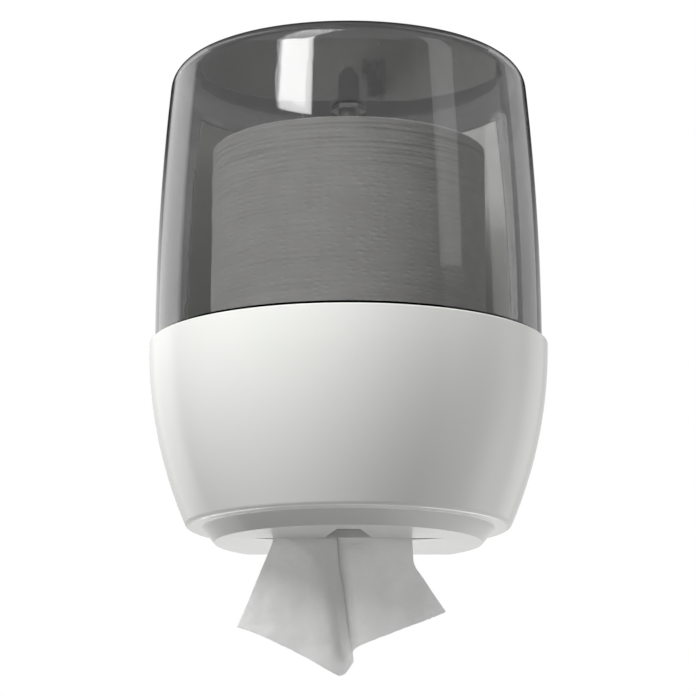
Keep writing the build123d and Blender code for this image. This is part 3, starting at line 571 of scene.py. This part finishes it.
class Tree:
    """Geometry node tree with named inputs, and shorthands for the nodes that it uses."""

    def __init__(self, name):
        self.tree = bpy.data.node_groups.new(name, "GeometryNodeTree")
        self.nodes, self.links = self.tree.nodes, self.tree.links
        self.idents = {}

    def socket(self, name, kind, default=None):
        made = self.tree.interface.new_socket(name, in_out="INPUT", socket_type=kind)
        if default is not None:
            made.default_value = default
        self.idents[name] = made.identifier

    def start(self):
        self.tree.interface.new_socket("Geometry", in_out="OUTPUT", socket_type="NodeSocketGeometry")
        self.given = self.nodes.new("NodeGroupInput")
        self.result = self.nodes.new("NodeGroupOutput")

    def put(self, value, target):
        if isinstance(value, bpy.types.NodeSocket):
            self.links.new(value, target)
        else:
            target.default_value = value

    def maths(self, operation, first, second=0.0, third=0.0):
        node = self.nodes.new("ShaderNodeMath")
        node.operation = operation
        for value, target in zip((first, second, third), node.inputs):
            self.put(value, target)
        return node.outputs[0]

    def join(self, x, y, z):
        node = self.nodes.new("ShaderNodeCombineXYZ")
        for value, target in zip((x, y, z), node.inputs):
            self.put(value, target)
        return node.outputs[0]

    def split(self, vector):
        node = self.nodes.new("ShaderNodeSeparateXYZ")
        self.links.new(vector, node.inputs[0])
        return node.outputs

    def noise(self, spot, round_scale, up_scale, detail, seed):
        """Noise about zero at a spot (x, y, height), finer or coarser round the axis and upwards."""
        x, y, up = spot
        node = self.nodes.new("ShaderNodeTexNoise")
        node.noise_dimensions = "4D"
        scaled = (self.maths("MULTIPLY", x, round_scale), self.maths("MULTIPLY", y, round_scale))
        self.put(self.join(*scaled, self.maths("MULTIPLY", up, up_scale)), node.inputs["Vector"])
        self.put(seed, node.inputs["W"])
        self.put(1.0, node.inputs["Scale"])
        self.put(detail, node.inputs["Detail"])
        return self.maths("SUBTRACT", node.outputs["Fac"], 0.5)


# Wound side and top of the roll, lengths in millimetres: the skin that counts as side or top, how
# far down the winding is loose and the share of that play below, depth of the waves on the side
# and of the staggered layers on the top
SIDE_SKIN = 0.4
TOP_SKIN = 0.4
LOOSE_TOP = 34.0
TIGHT_SHARE = 0.2
RIPPLE = 1.1
RAGGED = 0.9
SEED = 5.0
# Scales of the noise round the axis and upwards: rows of the winding, slack and leaning layers
ROWS_SCALE = (0.9, 420.0)
SLACK_SCALE = (2.5, 16.0)
SLACK_SHARE = 0.9
LEAN_SCALE = (3.0, 0.35)


def roll_tree(material):
    """Turns the outline round the upright axis, then waves the wound side and staggers the layers."""
    t = Tree("wound_roll")
    t.socket("Profile", "NodeSocketGeometry")
    t.socket("Segments", "NodeSocketInt", 64)
    t.socket("Height", "NodeSocketFloat", 0.2)
    t.socket("Layer Pitch", "NodeSocketFloat", 0.001)
    t.socket("Ripple", "NodeSocketFloat", 0.0003)
    t.socket("Ragged", "NodeSocketFloat", 0.0006)
    t.socket("Seed", "NodeSocketFloat", 5.0)
    t.start()
    given = t.given.outputs
    outline = t.nodes.new("GeometryNodeMeshToCurve")
    circle = t.nodes.new("GeometryNodeCurvePrimitiveCircle")
    circle.inputs["Radius"].default_value = TURNING_R
    upright = t.nodes.new("GeometryNodeSetCurveNormal")
    upright.mode = "Z_UP"
    turned = t.nodes.new("GeometryNodeCurveToMesh")
    t.links.new(given["Profile"], outline.inputs["Mesh"])
    t.links.new(given["Segments"], circle.inputs["Resolution"])
    t.links.new(circle.outputs["Curve"], upright.inputs["Curve"])
    t.links.new(upright.outputs["Curve"], turned.inputs["Curve"])
    t.links.new(outline.outputs["Curve"], turned.inputs["Profile Curve"])
    spot = t.nodes.new("GeometryNodeInputPosition").outputs[0]
    x, y, z = t.split(spot)
    radius = t.maths("SQRT", t.maths("ADD", t.maths("MULTIPLY", x, x), t.maths("MULTIPLY", y, y)))
    out_x, out_y = t.maths("DIVIDE", x, radius), t.maths("DIVIDE", y, radius)
    height = t.maths("ABSOLUTE", z)
    from_top = t.maths("SUBTRACT", given["Height"], height)
    side = t.maths("GREATER_THAN", radius, (ROLL_OUTER - SIDE_SKIN) * MM)
    top = t.maths("LESS_THAN", from_top, TOP_SKIN * MM)
    fade = t.maths("SUBTRACT", 1.0, t.maths("DIVIDE", from_top, LOOSE_TOP * MM))
    fade = t.maths("SMOOTH_MAX", fade, 0.0, 0.2)
    near_top = t.maths("MULTIPLY_ADD", fade, 1 - TIGHT_SHARE, TIGHT_SHARE)
    rows = t.noise((out_x, out_y, z), *ROWS_SCALE, 2.0, given["Seed"])
    slack = t.noise((out_x, out_y, z), *SLACK_SCALE, 2.0, given["Seed"])
    loose = t.maths("MULTIPLY", rows, near_top)
    inward = t.maths("ADD", loose, t.maths("MULTIPLY", slack, SLACK_SHARE))
    inward = t.maths("MULTIPLY", t.maths("MULTIPLY", inward, given["Ripple"]), side)
    layer = t.maths("ROUND", t.maths("DIVIDE", radius, given["Layer Pitch"]))
    stagger = t.nodes.new("ShaderNodeTexWhiteNoise")
    stagger.noise_dimensions = "1D"
    t.links.new(layer, stagger.inputs["W"])
    lean = t.noise((out_x, out_y, layer), *LEAN_SCALE, 3.0, given["Seed"])
    lift = t.maths("ADD", t.maths("SUBTRACT", stagger.outputs["Value"], 1.0), lean)
    lift = t.maths("MULTIPLY", t.maths("MULTIPLY", lift, given["Ragged"]), top)
    offset = t.join(t.maths("MULTIPLY", out_x, inward), t.maths("MULTIPLY", out_y, inward), lift)
    move = t.nodes.new("GeometryNodeSetPosition")
    t.links.new(turned.outputs["Mesh"], move.inputs["Geometry"])
    t.links.new(offset, move.inputs["Offset"])
    real = t.nodes.new("GeometryNodeRealizeInstances")
    finish = t.nodes.new("GeometryNodeSetMaterial")
    finish.inputs["Material"].default_value = material
    t.links.new(move.outputs["Geometry"], real.inputs["Geometry"])
    t.links.new(real.outputs["Geometry"], finish.inputs["Geometry"])
    t.links.new(finish.outputs["Geometry"], t.result.inputs["Geometry"])
    return t


def add_roll():
    t = roll_tree(roll_paper)
    piece = bpy.data.objects.new("wound_roll", roll_profile())
    bpy.context.collection.objects.link(piece)
    turned = piece.modifiers.new("wound_roll", "NODES")
    turned.node_group = t.tree
    given = {
        "Segments": ROLL_AROUND,
        "Height": (ROLL_TOP - ROLL_LOW) * MM,
        "Layer Pitch": LAYER * MM,
        "Ripple": RIPPLE * MM,
        "Ragged": RAGGED * MM,
        "Seed": SEED,
    }
    for name, value in given.items():
        turned[t.idents[name]] = value
    settle(piece)
    piece.data.transform(Matrix.Translation(place(0, 0, ROLL_LOW)))
    return piece


def add_lamp(name, azimuth, distance, height, size, power, mirrored):
    """Softbox that faces the holder. The azimuth is seen from above, from the camera's side to the right."""
    turn = math.radians(azimuth)
    axis = Vector((0, -AXIS_REACH * MM, 0))
    at = axis + Vector((math.sin(turn) * distance, -math.cos(turn) * distance, height))
    data = bpy.data.lights.new(name, "AREA")
    data.shape = "RECTANGLE"
    data.size, data.size_y = size
    data.energy = power
    lamp = bpy.data.objects.new(name, data)
    lamp.location = at
    lamp.rotation_euler = (axis - at).to_track_quat("-Z", "Y").to_euler()
    lamp.visible_glossy = mirrored
    bpy.context.collection.objects.link(lamp)


# Lamps: azimuth in degrees, distance and height in metres, width and height of the softbox in
# metres, power in watts, and whether the gloss of the object mirrors it
LAMPS = (
    ("key", -37, 2.0, 2.5, (1.1, 3.0), 176, False),
    ("fill", 61, 2.0, 1.2, (0.6, 1.4), 2.5, True),
    ("rim_left", -134, 2.0, 0.5, (1.15, 2.2), 4, True),
    ("rim_right", 135, 2.0, 0.5, (0.9, 2.2), 3, True),
    ("side_right", 105, 2.0, -0.1, (0.9, 2.0), 22, False),
    ("under", 180, 1.5, -1.3, (1.2, 1.2), 9, True),
)

# What the gloss of the object mirrors round it, as (azimuth in degrees, level): the azimuth
# is seen from above, 0 on the camera's side and positive towards the right.
MIRRORED_ROUND = (
    (-180, 0.9), (-165, 0.95), (-150, 1.0), (-118.5, 1.0), (-117.5, 0.03), (56, 0.03), (58.5, 0.55),
    (80, 0.45), (112, 0.35), (115, 0.0), (118, 0.0), (120, 0.15), (150, 0.3), (180, 0.9),
)
# Upward direction as a share, 0 straight down and 1 straight up, and the level there
MIRRORED_UP = ((0.68, 1.0), (0.76, 0.12))
# Bright pane whose mirror image stands in the upper left of the window
GLARE_ROUND = ((-45.3, 0), (-44.5, 1), (-24, 1), (-23.2, 0))
GLARE_UP = (0.7092, 0.79)
GLARE = 15.0
# Soft grey above the panes, mirrored in the top of the window
SOFT_ROUND = ((-122, 0), (-116, 0.2), (-50, 0.15), (-20, 0))
SOFT_UP = ((0.69, 0), (0.725, 1))
# Dark above and behind the holder, mirrored along the edge of the roof
BEHIND = ((0.8, 0.0), (0.88, 1.0))
HIGH = ((0.23, 0.0), (0.3, 0.97))
# Light that falls on the object from below, from around and from above
LIGHT_UP = ((0.12, 0.42), (0.3, 0.26), (0.7, 0.06))


def round_stops(stops):
    """Grey ramp stops from (azimuth in degrees, level)."""
    return grey_stops([((degrees + 180) / 360, level) for degrees, level in stops])


def mirrored_level(nodes, links, parts, upward):
    """Level of what the gloss mirrors, by direction."""
    towards = calculate(nodes, links, "MULTIPLY", parts.outputs["Y"], -1.0)
    azimuth = calculate(nodes, links, "ARCTAN2", parts.outputs["X"], towards)
    turned = calculate(nodes, links, "MULTIPLY_ADD", azimuth, 1 / (2 * math.pi), 0.5)

    def level(source, stops):
        return ramp(nodes, links, source, stops).outputs["Color"]

    def both(first, second):
        return calculate(nodes, links, "MULTIPLY", first, second)

    panels = both(level(turned, round_stops(MIRRORED_ROUND)), level(upward, grey_stops(MIRRORED_UP)))
    soft = both(level(turned, round_stops(SOFT_ROUND)), level(upward, grey_stops(SOFT_UP)))
    dark = both(level(parts.outputs["Y"], grey_stops(BEHIND)), level(parts.outputs["Z"], grey_stops(HIGH)))
    kept = calculate(nodes, links, "SUBTRACT", 1.0, dark)
    above = calculate(nodes, links, "GREATER_THAN", upward, GLARE_UP[0])
    below = calculate(nodes, links, "LESS_THAN", upward, GLARE_UP[1])
    pane = both(level(turned, round_stops(GLARE_ROUND)), both(above, below))
    shown = both(calculate(nodes, links, "ADD", panels, soft), kept)
    return calculate(nodes, links, "ADD", shown, both(pane, GLARE))


def add_world():
    """White behind the object and through the window; panels for the gloss; soft light from below."""
    world = bpy.data.worlds.new("studio")
    bpy.context.scene.world = world
    world.use_nodes = True
    nodes, links = world.node_tree.nodes, world.node_tree.links
    shown = nodes["Background"]
    shown.inputs["Color"].default_value = (1, 1, 1, 1)
    shown.inputs["Strength"].default_value = 1.0
    coords = nodes.new("ShaderNodeTexCoord")
    parts = nodes.new("ShaderNodeSeparateXYZ")
    links.new(coords.outputs["Generated"], parts.inputs[0])
    upward = calculate(nodes, links, "MULTIPLY_ADD", parts.outputs["Z"], 0.5, 0.5)
    lighting = nodes.new("ShaderNodeBackground")
    soft = ramp(nodes, links, upward, grey_stops(LIGHT_UP))
    links.new(soft.outputs["Color"], lighting.inputs["Color"])
    mirrored = nodes.new("ShaderNodeBackground")
    links.new(mirrored_level(nodes, links, parts, upward), mirrored.inputs["Color"])
    rays = nodes.new("ShaderNodeLightPath")
    glossy = nodes.new("ShaderNodeMixShader")
    links.new(rays.outputs["Is Glossy Ray"], glossy.inputs["Fac"])
    links.new(lighting.outputs["Background"], glossy.inputs[1])
    links.new(mirrored.outputs["Background"], glossy.inputs[2])
    direct = calculate(nodes, links, "LESS_THAN", rays.outputs["Diffuse Depth"], 0.5)
    through = calculate(nodes, links, "MULTIPLY", rays.outputs["Is Transmission Ray"], direct)
    white = calculate(nodes, links, "MAXIMUM", rays.outputs["Is Camera Ray"], through)
    mix = nodes.new("ShaderNodeMixShader")
    links.new(white, mix.inputs["Fac"])
    links.new(glossy.outputs["Shader"], mix.inputs[1])
    links.new(shown.outputs["Background"], mix.inputs[2])
    links.new(mix.outputs["Shader"], nodes["World Output"].inputs["Surface"])


roll_piece = add_roll()
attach(roll_piece, "roll")
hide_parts("paper_roll")
strand_piece = add_strand()
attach(strand_piece, "cover")
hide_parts("paper_strand")
sheet_piece = add_sheet()
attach(sheet_piece, "cover")
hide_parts("paper_tail")

add_camera()
add_world()
for lamp in LAMPS:
    add_lamp(*lamp)
bpy.context.scene.view_settings.view_transform = "Standard"
